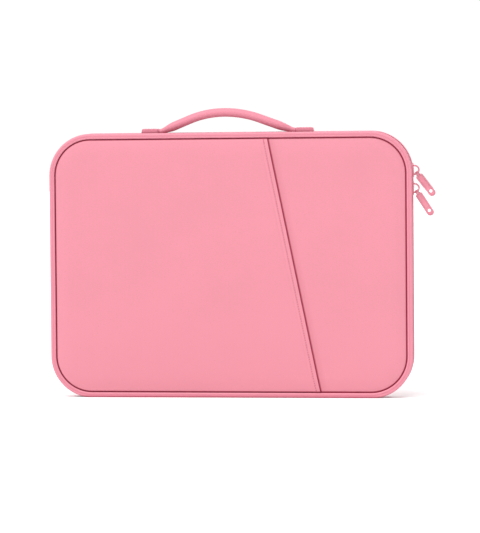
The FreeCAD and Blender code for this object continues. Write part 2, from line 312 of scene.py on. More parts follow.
def addBump(tree, shader, layers, normal=None):
    # layers are (height socket, strength, depth in metres), the broad ones first
    for height, strength, depth in layers:
        bump = addNode(tree, "ShaderNodeBump", [("Height", height)], Strength=strength, Distance=depth)
        if normal:
            tree.links.new(normal, bump.inputs["Normal"])
        normal = bump.outputs["Normal"]
    tree.links.new(normal, shader.inputs["Normal"])


leather = {
    "panel": (0.600, 0.214, 0.266),
    "rim": (0.615, 0.218, 0.278),
    "gusset": (0.560, 0.176, 0.232),
    "handle": (0.600, 0.204, 0.264),
    "creaseShade": (0.300, 0.020, 0.052),   # painted shade laid into seams, folds and grooves, where shade falls
    "variation": 0.012,
    "roughness": 0.47,
    "cloudSize": 14.0,
    "grainSize": 1150.0,               # about 0.9 mm between pebbles
    "poreSize": 3800.0,
    "grainDepth": 0.045 * mm,
    "coat": 0.03,
}


def pocketShade(tree, place):
    # painted shadow on the panel along the pocket's free edge, darkest at its upper end
    across = vectorOf(tree, "DOT_PRODUCT", place, edgeAcross)
    past = mathOf(tree, "SUBTRACT", across, edgeAcross.dot(edgeLow))
    near = rangeOf(tree, past, *pocket["lineReach"], pocket["lineShade"], 0)
    wide = rangeOf(tree, past, 0, pocket["softReach"], pocket["softShade"], 0)
    away = vectorOf(tree, "DISTANCE", place, (edgeHigh.x + 0.5 * mm, panelLow.y, edgeHigh.z))
    spot = rangeOf(tree, away, *pocket["spotReach"], pocket["spotShade"], 0)
    return mathOf(tree, "MAXIMUM", mathOf(tree, "MAXIMUM", near, wide), spot)


def leatherFinish(name, colour, grain=1.0, shaded=False):
    finish, tree, shader, place = startFinish(name, leather["roughness"])
    change = leather["variation"]
    cloud = rangeOf(tree, noiseOf(tree, place, leather["cloudSize"], 3.0), 0.35, 0.65, 0, 1)
    base = mixColours(tree, cloud, tint(colour, 1 - change), tint(colour, 1 + change))
    pebble = addNode(tree, "ShaderNodeTexVoronoi", [("Vector", place)], feature="SMOOTH_F1",
                     Scale=leather["grainSize"]).outputs["Distance"]
    pore = noiseOf(tree, place, leather["poreSize"], 4.0)
    valleys = rangeOf(tree, pebble, 0.45, 0.85, 0, 0.16)
    grained = mixColours(tree, valleys, base, tint(colour, 0.72))
    # painted shade from the mesh's crease attribute, in the dark crease colour
    creaseShaded = mixColours(tree, attributeOf(tree, "creaseShade"), grained, leather["creaseShade"])
    # painted shadow along the pocket's free edge
    if shaded:
        creaseShaded = mixColours(tree, pocketShade(tree, place), creaseShaded, leather["creaseShade"])
    tree.links.new(creaseShaded, shader.inputs["Base Color"])
    varyRoughness(tree, shader, pore, 0.42, 0.54)
    setValues(shader, Coat_Weight=leather["coat"], Coat_Roughness=0.35, Specular_IOR_Level=0.26)
    depth = leather["grainDepth"] * grain
    upsideDown = rangeOf(tree, pebble, 0, 1, 1, 0)
    addBump(tree, shader, [(upsideDown, 0.55, depth), (pore, 0.35, depth * 0.5)])
    return finish


cloth = {
    "fleece": (0.560, 0.240, 0.290),
    "tape": (0.420, 0.085, 0.135),
    "binding": (0.500, 0.145, 0.200),
    "thread": (0.680, 0.300, 0.360),
    # painted shade: the welt is near-black to stand in for the shade at the bottom of the seam
    "welt": (0.230, 0.014, 0.038),
}


def fleeceFinish(name, colour):
    # brushed lining: short matted fibres and a soft pile that catches light at the edges
    finish, tree, shader, place = startFinish(name, 0.95)
    tuft = noiseOf(tree, place, 900.0, 6.0, Roughness=0.7)
    brushed = addNode(tree, "ShaderNodeMapping", [("Vector", place)])
    brushed.inputs["Scale"].default_value = (260, 260, 60)
    streak = noiseOf(tree, brushed.outputs["Vector"], 1.0, 3.0)
    base = mixColours(tree, tuft, tint(colour, 0.8), colour)
    streaked = mixColours(tree, rangeOf(tree, streak, 0.35, 0.7, 0, 0.35), base, tint(colour, 1.2))
    # painted shade from the mesh's crease attribute, in the dark crease colour
    creaseShaded = mixColours(tree, attributeOf(tree, "creaseShade"), streaked, leather["creaseShade"])
    tree.links.new(creaseShaded, shader.inputs["Base Color"])
    setValues(shader, Sheen_Weight=0.6, Sheen_Roughness=0.4, Specular_IOR_Level=0.15)
    addBump(tree, shader, [(streak, 0.5, 0.2 * mm), (tuft, 0.8, 0.15 * mm)])
    return finish


def wovenFinish(name, colour, pitch):
    # two sets of yarns at right angles, with a diagonal step as in a twill tape
    finish, tree, shader, place = startFinish(name, 0.78)
    waves = [waveOf(tree, place, 1 / pitch / 3.1416 / 2, 0.6, direction) for direction in ("X", "Y", "Z")]
    weave = mathOf(tree, "MULTIPLY", mathOf(tree, "MAXIMUM", waves[0], waves[1]), waves[2])
    fibre = noiseOf(tree, place, 5200.0, 3.0)
    yarn = mixColours(tree, weave, tint(colour, 0.62), colour)
    spun = mixColours(tree, rangeOf(tree, fibre, 0.3, 0.7, 0, 0.25), yarn, tint(colour, 1.25))
    tree.links.new(spun, shader.inputs["Base Color"])
    varyRoughness(tree, shader, fibre, 0.7, 0.88)
    setValues(shader, Sheen_Weight=0.25, Sheen_Roughness=0.5, Specular_IOR_Level=0.25)
    addBump(tree, shader, [(weave, 0.8, 0.12 * mm), (fibre, 0.3, 0.04 * mm)])
    return finish


def threadFinish(name, colour):
    # twisted polyester: fine slanting plies with a slight shine
    finish, tree, shader, place = startFinish(name, 0.5)
    ply = waveOf(tree, place, 420.0, 1.5, "DIAGONAL")
    fluff = noiseOf(tree, place, 6000.0, 2.0)
    tree.links.new(mixColours(tree, ply, tint(colour, 0.6), colour), shader.inputs["Base Color"])
    varyRoughness(tree, shader, fluff, 0.42, 0.6)
    shader.inputs["Sheen Weight"].default_value = 0.2
    addBump(tree, shader, [(ply, 0.7, 0.06 * mm), (fluff, 0.2, 0.02 * mm)])
    return finish


metal = {
    "slider": (0.590, 0.165, 0.225),
    "pull": (0.600, 0.185, 0.245),
    "bare": (0.62, 0.50, 0.50),        # zinc that shows where the enamel is rubbed
    "roughness": 0.36,
    "edgeRound": 0.5 * mm,
    "edgeShade": 0.6,                  # painted shade where the enamel turns an edge
    "border": 1.0 * mm,
    "borderShade": 0.75,
}


def borderShade(tree, place, node):
    # how near a spot lies to the outline of a pull, a straight bar with round ends, given as painted shade
    # along that outline
    mesh = frame["nodes"][node].data
    spots = [vertex.co for vertex in mesh.vertices]
    middle = sum(spots, Vector()) / len(spots)
    oneEnd = max(spots, key=lambda spot: (spot - middle).length)
    otherEnd = max(spots, key=lambda spot: (spot - oneEnd).length)
    middle = (oneEnd + otherEnd) / 2
    along = (oneEnd - otherEnd).normalized()
    flat = max(mesh.polygons, key=lambda face: face.area).normal.copy()
    across = along.cross(flat).normalized()
    halfBar = max(abs((spot - middle).dot(across)) for spot in spots)
    straight = (oneEnd - otherEnd).length / 2 - halfBar
    offset = vectorOf(tree, "SUBTRACT", place, middle)
    travel = vectorOf(tree, "DOT_PRODUCT", offset, along)
    held = mathOf(tree, "MINIMUM", mathOf(tree, "MAXIMUM", travel, -straight), straight)
    away = vectorOf(tree, "SUBTRACT", offset, vectorOf(tree, "SCALE", along, held))
    thin = vectorOf(tree, "DOT_PRODUCT", away, flat)
    level = vectorOf(tree, "SUBTRACT", away, vectorOf(tree, "SCALE", flat, thin))
    reach = vectorOf(tree, "LENGTH", level)
    border = metal["border"]
    return rangeOf(tree, reach, halfBar - border, halfBar - border * 0.35, 0, metal["borderShade"])


def enamelFinish(name, colour, wear=0.35, barNode=None):
    # baked enamel on zinc: a slight orange peel, small tonal drift, rubbed corners, and painted shade at its
    # edges and along a pull's outline
    finish, tree, shader, place = startFinish(name, metal["roughness"])
    peel = noiseOf(tree, place, 1500.0, 2.0)
    drift = noiseOf(tree, place, 160.0, 3.0)
    base = mixColours(tree, rangeOf(tree, drift, 0.35, 0.65, 0, 1), tint(colour, 0.93), tint(colour, 1.05))
    surface = addNode(tree, "ShaderNodeNewGeometry")
    rounded = addNode(tree, "ShaderNodeBevel", samples=6, Radius=metal["edgeRound"]).outputs["Normal"]
    # painted shade where the surface turns an edge
    turned = vectorOf(tree, "DOT_PRODUCT", rounded, surface.outputs["Normal"])
    edge = rangeOf(tree, turned, 0.72, 0.99, metal["edgeShade"], 0)
    base = mixColours(tree, edge, base, leather["creaseShade"])
    # painted shade along a pull's outline
    if barNode:
        base = mixColours(tree, borderShade(tree, place, barNode), base, leather["creaseShade"])
    ridge = rangeOf(tree, surface.outputs["Pointiness"], 0.53, 0.60, 0, 1)
    patchy = rangeOf(tree, noiseOf(tree, place, 900.0, 5.0), 0.52, 0.62, 0, wear)
    rubbed = mixColours(tree, mathOf(tree, "MULTIPLY", ridge, patchy), base, metal["bare"])
    tree.links.new(rubbed, shader.inputs["Base Color"])
    varyRoughness(tree, shader, drift, 0.30, 0.42)
    setValues(shader, Coat_Weight=0.25, Coat_Roughness=0.15, Specular_IOR_Level=0.5)
    addBump(tree, shader, [(drift, 0.2, 0.1 * mm), (peel, 0.25, 0.03 * mm)], rounded)
    return finish


def nylonFinish(name, colour):
    # moulded monofilament, slightly milky
    finish, tree, shader, place = startFinish(name, 0.38)
    drift = noiseOf(tree, place, 700.0, 3.0)
    scuff = noiseOf(tree, place, 3600.0, 4.0)
    base = mixColours(tree, rangeOf(tree, drift, 0.3, 0.7, 0, 1), tint(colour, 0.86), colour)
    tree.links.new(base, shader.inputs["Base Color"])
    varyRoughness(tree, shader, scuff, 0.3, 0.5)
    setValues(shader, Subsurface_Weight=0.1, Subsurface_Radius=(0.001, 0.0004, 0.0004))
    addBump(tree, shader, [(drift, 0.3, 0.05 * mm), (scuff, 0.2, 0.02 * mm)])
    return finish


def boardFinish(name):
    # pressed grey stiffening board
    finish, tree, shader, place = startFinish(name, 0.8)
    fleck = addNode(tree, "ShaderNodeTexVoronoi", [("Vector", place)], Scale=620.0).outputs["Distance"]
    fibre = noiseOf(tree, place, 1400.0, 4.0)
    base = mixColours(tree, fleck, (0.20, 0.19, 0.19), (0.32, 0.31, 0.30))
    tree.links.new(base, shader.inputs["Base Color"])
    addBump(tree, shader, [(fibre, 0.4, 0.08 * mm)])
    return finish


panelLeather = leatherFinish("panel_leather", leather["panel"])
shadedLeather = leatherFinish("panel_leather_with_pocket_shadow", leather["panel"], shaded=True)
rimLeather = leatherFinish("rim_leather", leather["rim"], 0.8)
gussetLeather = leatherFinish("gusset_leather", leather["gusset"], 0.9)
handleLeather = leatherFinish("handle_leather", leather["handle"], 0.9)
liningFleece = fleeceFinish("lining_fleece", cloth["fleece"])
tapeWeave = wovenFinish("zip_tape_weave", cloth["tape"], 0.55 * mm)
bindingWeave = wovenFinish("binding_weave", cloth["binding"], 0.8 * mm)
weltShadeLeather = leatherFinish("seam_welt_painted_shade", cloth["welt"], 0.6)
sewingThread = threadFinish("sewing_thread", cloth["thread"])
sliderEnamel = enamelFinish("slider_enamel", metal["slider"])
upperPullEnamel = enamelFinish("upper_pull_enamel", metal["pull"], 0.25, "upper_pull_tab")
lowerPullEnamel = enamelFinish("lower_pull_enamel", metal["pull"], 0.25, "lower_pull_tab")
stopEnamel = enamelFinish("stop_enamel", metal["slider"], 0.5)
toothNylon = nylonFinish("tooth_nylon", cloth["tape"])
stiffBoard = boardFinish("stiff_board")
print("finishes mixed")


# making pieces

outline = {
    "cornerRadius": 41 * mm,
    "leastRadius": 5 * mm,
    "cornerSteps": 18,
    "longSteps": 84,
    "shortSteps": 56,
    "gapSteps": 5,           # along the base, beside the fabric hinge
    "baseShade": 0.85,       # painted contact shadow: the case is darker where it meets what it stands on
    "baseReach": (0.4 * mm, 2.3 * mm),
}


def caseOutline(inset, top, gap=None):
    # the case from the front, drawn in by inset, anticlockwise; with a gap it starts and ends on the base
    radius = max(outline["cornerRadius"] - inset, outline["leastRadius"])
    right = halfWidth - inset - radius
    low = inset + radius
    high = top - inset - radius
    runs = (outline["shortSteps"], outline["longSteps"], outline["shortSteps"], outline["longSteps"])
    corners = ((right, low, -90), (right, high, 0), (-right, high, 90), (-right, low, 180))
    arcs = []
    for centreX, centreZ, start in corners:
        arc = []
        for step in range(outline["cornerSteps"] + 1):
            angle = math.radians(start + 90 * step / outline["cornerSteps"])
            arc.append((centreX + radius * math.cos(angle), centreZ + radius * math.sin(angle)))
        arcs.append(arc)
    points = []
    if gap is not None:
        points += straightRun((gap, inset), arcs[0][0], outline["gapSteps"])[:-1]
    for corner in range(4):
        points += arcs[corner]
        if corner < 3:
            points += straightRun(arcs[corner][-1], arcs[corner + 1][0], runs[corner])[1:-1]
        elif gap is None:
            points += straightRun(arcs[3][-1], arcs[0][0], runs[3])[1:-1]
        else:
            points += straightRun(arcs[3][-1], (-gap, inset), outline["gapSteps"])[1:]
    return points


def straightRun(start, end, steps):
    run = []
    for step in range(steps + 1):
        share = step / steps
        run.append((start[0] + (end[0] - start[0]) * share, start[1] + (end[1] - start[1]) * share))
    return run


def smoothStep(value, low, high):
    share = min(1.0, max(0.0, (value - low) / (high - low)))
    return share * share * (3 - 2 * share)


def bell(value, middle, width):
    return math.exp(-((value - middle) / width) ** 2)


def makePiece(name, points, faces, body, finish, creaseShades=None, fixNormals=True):
    mesh = bpy.data.meshes.new(name)
    mesh.from_pydata([tuple(point) for point in points], [], faces)
    if fixNormals:
        work = bmesh.new()
        work.from_mesh(mesh)
        bmesh.ops.recalc_face_normals(work, faces=work.faces)
        work.to_mesh(mesh)
        work.free()
    if creaseShades is not None:
        # the per-point crease attribute holds painted shade
        attribute = mesh.attributes.new("creaseShade", "FLOAT", "POINT")
        attribute.data.foreach_set("value", creaseShades)
    mesh.materials.append(finish)
    mesh.shade_smooth()
    piece = bpy.data.objects.new(name, mesh)
    bpy.context.scene.collection.objects.link(piece)
    if body:
        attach(piece, body)
    return piece


def tubeFaces(rows, columns, closedRows=False, capEnds=True):
    # rows x columns of points, joined by quads, each row a ring; capEnds closes the first and last
    faces = []
    for row in range(rows if closedRows else rows - 1):
        nextRow = (row + 1) % rows
        for column in range(columns):
            nextColumn = (column + 1) % columns
            faces.append((row * columns + column, row * columns + nextColumn,
                          nextRow * columns + nextColumn, nextRow * columns + column))
    if capEnds:
        faces.append(tuple(range(columns)))
        faces.append(tuple(range((rows - 1) * columns, rows * columns)))
    return faces


def sweepProfile(name, profile, top, body, finish, gap=None, sway=None):
    # profile points are (inset, y, painted crease shade) round a closed section; sway(x, y, z) gives (inset,
    # y) changes
    paths = [caseOutline(inset, top, gap) for inset, y, creaseShade in profile]
    count = len(paths[0])
    points = []
    creaseShades = []
    for index in range(count):
        for place, (inset, y, creaseShade) in enumerate(profile):
            x, z = paths[place][index]
            if sway:
                x, y, z = sway(x, y, z)
            points.append((x, y, z))
            # painted contact shadow near the base
            baseShadow = outline["baseShade"] * (1 - smoothStep(z, *outline["baseReach"]))
            creaseShades.append(max(creaseShade, baseShadow))
    faces = tubeFaces(count, len(profile), gap is None, gap is not None)
    return makePiece(name, points, faces, body, finish, creaseShades)


# padded walls: outer skins

skin = {
    "edgeRound": 1.15 * mm,       # turn of the skin into the seam
    "seamDepth": 1.5 * mm,
    "frontCrown": 1.5 * mm,       # how far the padding swells
    "backCrown": 1.3 * mm,
    "crownReach": 15 * mm,        # swells over this distance from the seam
    "waves": 0.05 * mm,           # slow unevenness of the padding
    "waveSize": 9.0,
    "frontSeed": 3.0,
    "backSeed": 21.0,
    # millimetres in from the seam
    "steps": (0.6, 1.3, 2.2, 3.4, 5, 7, 9.5, 12.5, 16, 20, 25, 31, 38, 46, 55, 65, 76, 88, 100, 112),
}


def slowWave(x, z, seed):
    size = skin["waveSize"]
    broad = noise.noise(Vector((x * size, z * size, seed)))
    return broad + 0.4 * noise.noise(Vector((x * size * 3, z * size * 3, seed + 9)))


def crownHeight(x, z, depth, crown, seed):
    # depth is the distance in from the seam
    share = min(1.0, depth / skin["crownReach"])
    swell = crown * math.sin(share * math.pi / 2) ** 0.8
    return swell + skin["waves"] * slowWave(x, z, seed) * smoothStep(depth, 2 * mm, 25 * mm)


def skinRows(top, crown, seed):
    # rows of (x, z, height above the seam face, painted crease shade), from the bottom of the seam inwards
    rows = []
    radius = skin["edgeRound"]
    rows.append([(x, z, -skin["seamDepth"], 1.0) for x, z in caseOutline(panelInset, top)])
    for turn in (0, 22, 45, 67, 90):
        angle = math.radians(turn)
        inset = panelInset + radius * (1 - math.cos(angle))
        height = -radius * (1 - math.sin(angle))
        # painted shade, full at the bottom of the seam, fading over the skin's turn
        creaseShade = 0.97 * (1 - smoothStep(turn, 40, 85))
        rows.append([(x, z, height, creaseShade) for x, z in caseOutline(inset, top)])
    for step in skin["steps"]:
        depth = step * mm
        row = []
        for x, z in caseOutline(panelInset + radius + depth, top):
            row.append((x, z, crownHeight(x, z, depth, crown, seed), 0.0))
        rows.append(row)
    return rows


def wallSkin(name, top, faceY, backY, side, crown, seed, body, finish):
    # a padded slab: crowned skin outside, flat against the board inside; side is -1 in front, +1 behind
    rows = skinRows(top, crown, seed)
    count = len(rows[0])
    points = [(x, backY, z) for x, z, height, creaseShade in rows[0]]
    # painted shade on the rows hidden at the bottom of the seam
    creaseShades = [1.0] * count
    for row in rows:
        for x, z, height, creaseShade in row:
            points.append((x, faceY + side * height, z))
            creaseShades.append(creaseShade)
    faces = tubeFaces(len(rows) + 1, count)
    return makePiece(name, points, faces, body, finish, creaseShades)


def pastEdge(x, z):
    # signed distance to the right of the pocket's free edge
    return (Vector((x, 0, z)) - edgeLow).dot(edgeAcross)


def pocketHeight(x, z):
    # extra height of the pocket above the panel's own crown
    back = -pastEdge(x, z)
    hemWidth = pocket["hemWidth"]
    hem = pocket["hemRise"] * (1 - smoothStep(back, hemWidth - 1.6 * mm, hemWidth + 0.8 * mm))
    dip = pocket["stitchDip"] * bell(back, pocket["stitchInset"], 0.55 * mm)
    lift = pocket["mouthLift"] * (1 - smoothStep(back, 0, 5 * mm))
    return pocket["stand"] + hem - dip + lift


def cutChain(work):
    # the points along the cut, in order from the lower seam to the upper one
    limit = 0.01 * mm
    start = pocket["gridStart"] * mm
    onCut = set()
    for vertex in work.verts:
        if abs(pastEdge(vertex.co.x, vertex.co.z) + start) < limit:
            onCut.add(vertex)
    beside = {}
    for vertex in onCut:
        beside[vertex] = []
        for edge in vertex.link_edges:
            other = edge.other_vert(vertex)
            if other in onCut and edge.is_boundary:
                beside[vertex].append(other)
    ends = [vertex for vertex in onCut if len(beside[vertex]) == 1]
    current = min(ends, key=lambda vertex: vertex.co.z)
    chain = [current]
    seen = {current}
    while True:
        following = [vertex for vertex in beside[current] if vertex not in seen]
        if not following:
            return chain
        current = following[0]
        seen.add(current)
        chain.append(current)


def edgeColumns():
    # each column's distance back from the edge, height above the pocket's own face and painted crease shade
    columns = []
    for back in pocket["gridSteps"]:
        columns.append((back * mm, 0.0, 0.0))
    radius = pocket["foldRadius"]
    # painted shade deepening round the fold and under the edge
    for turn in (0, 30, 60, 90, 120, 150, 180):
        angle = math.radians(turn)
        columns.append((radius * (1 - math.sin(angle)), -radius * (1 - math.cos(angle)), 0.35 * turn / 180))
    for back, drop in ((2.0, 1.20), (4.0, 1.10), (6.2, 0.86)):
        columns.append((back * mm, -drop * mm, 0.5))
    return columns


def makePocketSkin():
    # the panel's own rows, cut near the free edge, then rows that follow the edge and fold under
    rows = skinRows(frontTop, skin["frontCrown"], skin["frontSeed"])
    points = []
    creaseShades = []
    for row in rows:
        for x, z, height, creaseShade in row:
            points.append((x, panelLow.y - height, z))
            creaseShades.append(creaseShade)
    faces = tubeFaces(len(rows), len(rows[0]), capEnds=False)
    faces.append(tuple(range((len(rows) - 1) * len(rows[0]), len(rows) * len(rows[0]))))
    leaf = makePiece("front_pocket", points, faces, None, panelLeather, creaseShades,
                     fixNormals=False)
    work = bmesh.new()
    work.from_mesh(leaf.data)
    everything = work.verts[:] + work.edges[:] + work.faces[:]
    cutPlace = edgeLow - edgeAcross * pocket["gridStart"] * mm
    bmesh.ops.bisect_plane(work, geom=everything, plane_co=cutPlace, plane_no=edgeAcross, clear_outer=True)
    work.verts.index_update()
    layer = work.verts.layers.float.get("creaseShade")
    chain = cutChain(work)
    for vertex in work.verts:
        vertex.co.y -= pocketHeight(vertex.co.x, vertex.co.z)
    lean = edgeAcross.x
    previous = chain
    for back, offset, creaseShade in edgeColumns():
        column = []
        for vertex in chain:
            x = vertex.co.x + (pocket["gridStart"] * mm - back) / lean
            own = pocketHeight(vertex.co.x, vertex.co.z)
            y = vertex.co.y + own - pocketHeight(x, vertex.co.z) - offset
            spot = work.verts.new((x, y, vertex.co.z))
            # painted shade in the stitch groove and a faint one at the hem's step, none underneath
            stitched = 0.62 * bell(back, pocket["stitchInset"], 0.42 * mm)
            step = 0.02 * bell(back, pocket["hemWidth"] + 0.6 * mm, 1.0 * mm)
            if offset < 0:
                stitched = 0.0
                step = 0.0
            spot[layer] = max(vertex[layer], stitched, step, creaseShade)
            column.append(spot)
        for index in range(len(chain) - 1):
            work.faces.new((previous[index], column[index], column[index + 1], previous[index + 1]))
        previous = column
    bmesh.ops.triangulate(work, faces=[face for face in work.faces if len(face.verts) > 4])
    bmesh.ops.recalc_face_normals(work, faces=work.faces)
    towardsBack = sum(face.normal.y * face.calc_area() for face in work.faces)
    if towardsBack > 0:
        bmesh.ops.reverse_faces(work, faces=work.faces)
    work.to_mesh(leaf.data)
    work.free()
    leaf.data.shade_smooth()
    wall = leaf.modifiers.new("leather_thickness", "SOLIDIFY")
    wall.thickness = pocket["thickness"]
    wall.offset = -1
    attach(leaf, "front_cover")
    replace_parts(leaf, "pocket_panel", "pocket_hem")
    sheetWidth = edgeLow.x - panelLow.x + pocket["hemWidth"]
    sheetHeight = panelHigh.z - panelLow.z + 4 * skin["seamDepth"]
    area = sheetHeight * ((edgeLow.x + edgeHigh.x) / 2 - panelLow.x + pocket["hemWidth"])
    return leaf, (sheetWidth, sheetHeight), area


frontSkin = wallSkin("front_panel_skin", frontTop, panelLow.y, frontBoardLow.y, -1, skin["frontCrown"],
                     skin["frontSeed"], "front_cover", shadedLeather)
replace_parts(frontSkin, "front_panel", "front_foam")
pocketSkin, pocketFlat, pocketArea = makePocketSkin()
backSkin = wallSkin("back_panel_skin", backTop, backPanelHigh.y, backBoardHigh.y, 1, skin["backCrown"],
                    skin["backSeed"], "back_shell", panelLeather)
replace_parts(backSkin, "back_panel", "back_foam")
print("padded walls made")


# stitches

def stitchRow(name, spots, body, length, width, height):
    # spots are (place, direction along, direction up) of each stitch; each is a short twisted bead of thread
    points = []
    faces = []
    sides = 8
    rings = ((-0.5, 0.25), (-0.42, 0.75), (-0.2, 1.0), (0.2, 1.0), (0.42, 0.75), (0.5, 0.25))
    for place, along, up in spots:
        across = along.cross(up)
        first = len(points)
        for share, thickness in rings:
            for side in range(sides):
                angle = 2 * math.pi * side / sides
                points.append(place + along * (share * length)
                              + across * (width / 2 * thickness * math.cos(angle))
                              + up * (height * thickness * math.sin(angle)))
        for face in tubeFaces(len(rings), sides):
            faces.append(tuple(first + index for index in face))
    return makePiece(name, points, faces, body, sewingThread)


def makePocketStitches():
    spots = []
    length = (edgeHigh - edgeLow).length
    count = int((length - 2 * pocket["stitchPitch"]) / pocket["stitchPitch"])
    for number in range(count):
        place = edgeLow + edgeAlong * ((number + 1.5) * pocket["stitchPitch"])
        place = place - edgeAcross * pocket["stitchInset"]
        depth = distanceToSeam(place.x, place.z, frontTop)
        crown = crownHeight(place.x, place.z, depth, skin["frontCrown"], skin["frontSeed"])
        y = panelLow.y - crown - pocketHeight(place.x, place.z)
        slant = (edgeAlong + edgeAcross * 0.10).normalized()
        spots.append((Vector((place.x, y, place.z)), slant, Vector((0, -1, 0))))
    return stitchRow("pocket_topstitch", spots, "front_cover",
                     pocket["stitchLength"], 0.6 * mm, 0.26 * mm)


def distanceToSeam(x, z, top):
    # how far in from the rounded seam a spot lies, past the turn of the skin
    start = panelInset + skin["edgeRound"]
    radius = outline["cornerRadius"] - start
    coreX = halfWidth - start - radius
    lowZ = start + radius
    highZ = top - start - radius
    dx = max(abs(x) - coreX, 0.0)
    dz = max(z - highZ, lowZ - z, 0.0)
    if dx > 0 and dz > 0:
        return radius - math.hypot(dx, dz)
    return min(halfWidth - start - abs(x), z - start, top - start - z)


pocketStitches = makePocketStitches()
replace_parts(pocketStitches, "pocket_stitching")
print("pocket sewn on")


# rims

rim = {
    "squareness": 3.3,       # 2 is round, higher is squarer
    "sectionSteps": 36,
    "belly": 0.5 * mm,       # the front piping swells a little past its seam
    "channel": 0.40 * mm,    # shallow groove along the middle of the face
    "channelWidth": 0.6 * mm,
    "pucker": 0.05 * mm,
}


def rimProfile(low, high, side):
    # section round the middle of the rim; side is -1 for the front rim
    middleInset = rimWidth / 2
    middleY = (low + high) / 2
    halfDepth = (high - low) / 2
    power = 2 / rim["squareness"]
    profile = []
    for step in range(rim["sectionSteps"]):
        angle = 2 * math.pi * step / rim["sectionSteps"]
        across = math.copysign(abs(math.cos(angle)) ** power, math.cos(angle))
        out = math.copysign(abs(math.sin(angle)) ** power, math.sin(angle))
        inset = middleInset + across * middleInset
        if across < 0 and side < 0:
            inset += across * rim["belly"]
        y = middleY + side * out * halfDepth
        creaseShade = 0.0
        if out > 0.5:
            dip = bell(inset, middleInset, rim["channelWidth"])
            y -= side * rim["channel"] * dip
            # painted shade in the channel
            creaseShade = 0.20 * dip
        if across > 0.8:
            creaseShade = max(creaseShade, 0.95 * smoothStep(across, 0.82, 0.93))   # painted shade against the seam
        if out < -0.8:
            creaseShade = max(creaseShade, 0.9 * smoothStep(-out, 0.8, 0.93))       # painted shade in the parting at the zip
        profile.append((inset, y, creaseShade))
    return profile


def puckered(x, y, z):
    # the piping is pulled in a little between stitches
    shift = rim["pucker"] * noise.noise(Vector((x * 90, y * 40, z * 90)))
    lift = rim["pucker"] * 0.6 * noise.noise(Vector((x * 210 + 7, y * 40, z * 210)))
    return x, y + shift + lift, max(z, 0.0)


frontRim = sweepProfile("front_rim", rimProfile(frontRimLow.y, frontRimHigh.y, -1), frontTop, "front_cover",
                        rimLeather, sway=puckered)
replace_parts(frontRim, "front_rim_cover", "front_rim_core")
backRim = sweepProfile("back_rim", rimProfile(backRimLow.y, backRimHigh.y, 1), backTop, "back_shell",
                       rimLeather, sway=puckered)
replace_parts(backRim, "back_rim_cover", "back_rim_core")


def weltProfile(face, side):
    # the flat welt at the bottom of the seam, its dark colour painted shade; face is the panel's
    y = face - side * (skin["seamDepth"] - 0.6 * mm)
    overlap = 0.5 * mm
    thick = 0.5 * mm
    low = rimWidth - overlap
    high = panelInset + overlap
    return [(low, y, 0.0), (low, y - side * thick, 0.0), (high, y - side * thick, 0.0), (high, y, 0.0),
            ((low + high) / 2, y + side * 0.15 * mm, 0.0)]


sweepProfile("front_seam_welt", weltProfile(panelLow.y, -1), frontTop, "front_cover",
             weltShadeLeather)
sweepProfile("back_seam_welt", weltProfile(backPanelHigh.y, 1), backTop, "back_shell",
             weltShadeLeather)
print("rims and welts made")


# gusset, fabric hinge and linings

gusset = {
    "recess": 1.8 * mm,
    "thickness": 1.2 * mm,
    "puff": 0.2 * mm,
    "stitchInset": 1.3 * mm,
    "stitchDip": 0.15 * mm,
    "stitchPitch": 3.0 * mm,
    "stitchLength": 2.2 * mm,
    "rows": 17,
}


def sewnDips(y, low, high, inset, width):
    # a dip along both edges of a strip, where it is sewn
    return bell(y, low + inset, width) + bell(y, high - inset, width)


def gussetProfile():
    low = gussetLow.y
    high = gussetHigh.y
    outside = []
    for row in range(gusset["rows"]):
        y = low + (high - low) * row / (gusset["rows"] - 1)
        share = row / (gusset["rows"] - 1)
        puff = gusset["puff"] * math.sin(math.pi * share) ** 0.6
        dips = sewnDips(y, low, high, gusset["stitchInset"], 0.45 * mm)
        # painted shade in the stitch dips and along both edges
        creaseShade = 0.15 * dips + 0.5 * (bell(share, 0, 0.03) + bell(share, 1, 0.03))
        outside.append((gusset["recess"] - puff + gusset["stitchDip"] * dips, y, creaseShade))
    inner = gusset["recess"] + gusset["thickness"]
    return outside + [(inner, high, 0.0), (inner, low, 0.0)]


hingeHalf = hingeBackHigh.x
gussetSkin = sweepProfile("side_gusset", gussetProfile(), backTop, "back_shell", gussetLeather,
                          gap=hingeHalf)
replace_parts(gussetSkin, "back_gusset")


def outlineLength(points):
    return sum(math.dist(points[index], points[index + 1]) for index in range(len(points) - 1))


def spacedSpots(points, pitch, y, towards):
    # places every pitch along an open outline, with the direction along it and out of the case
    spots = []
    travelled = 0.0
    nextSpot = pitch / 2
    for index in range(len(points) - 1):
        start = Vector((points[index][0], y, points[index][1]))
        end = Vector((points[index + 1][0], y, points[index + 1][1]))
        length = (end - start).length
        along = (end - start).normalized()
        outward = Vector((along.z, 0, -along.x)) * towards
        while nextSpot <= travelled + length:
            spots.append((start + along * (nextSpot - travelled), along, outward))
            nextSpot += pitch
        travelled += length
    return spots


def makeGussetStitches():
    spots = []
    for y in (gussetLow.y + gusset["stitchInset"], gussetHigh.y - gusset["stitchInset"]):
        spots += spacedSpots(caseOutline(gusset["recess"] - 0.12 * mm, backTop, hingeHalf),
                             gusset["stitchPitch"], y, 1)
    return stitchRow("gusset_stitching", spots, "back_shell", gusset["stitchLength"],
                     0.5 * mm, 0.2 * mm)


gussetStitches = makeGussetStitches()
gussetRun = outlineLength(caseOutline(gusset["recess"], backTop, hingeHalf))

hinge = {
    "thickness": 1.3 * mm,
    "lift": 0.05 * mm,
    "foldHalfWidth": 1.0 * mm,
    "stitchInset": 1.4 * mm,
    "columns": 84,
}


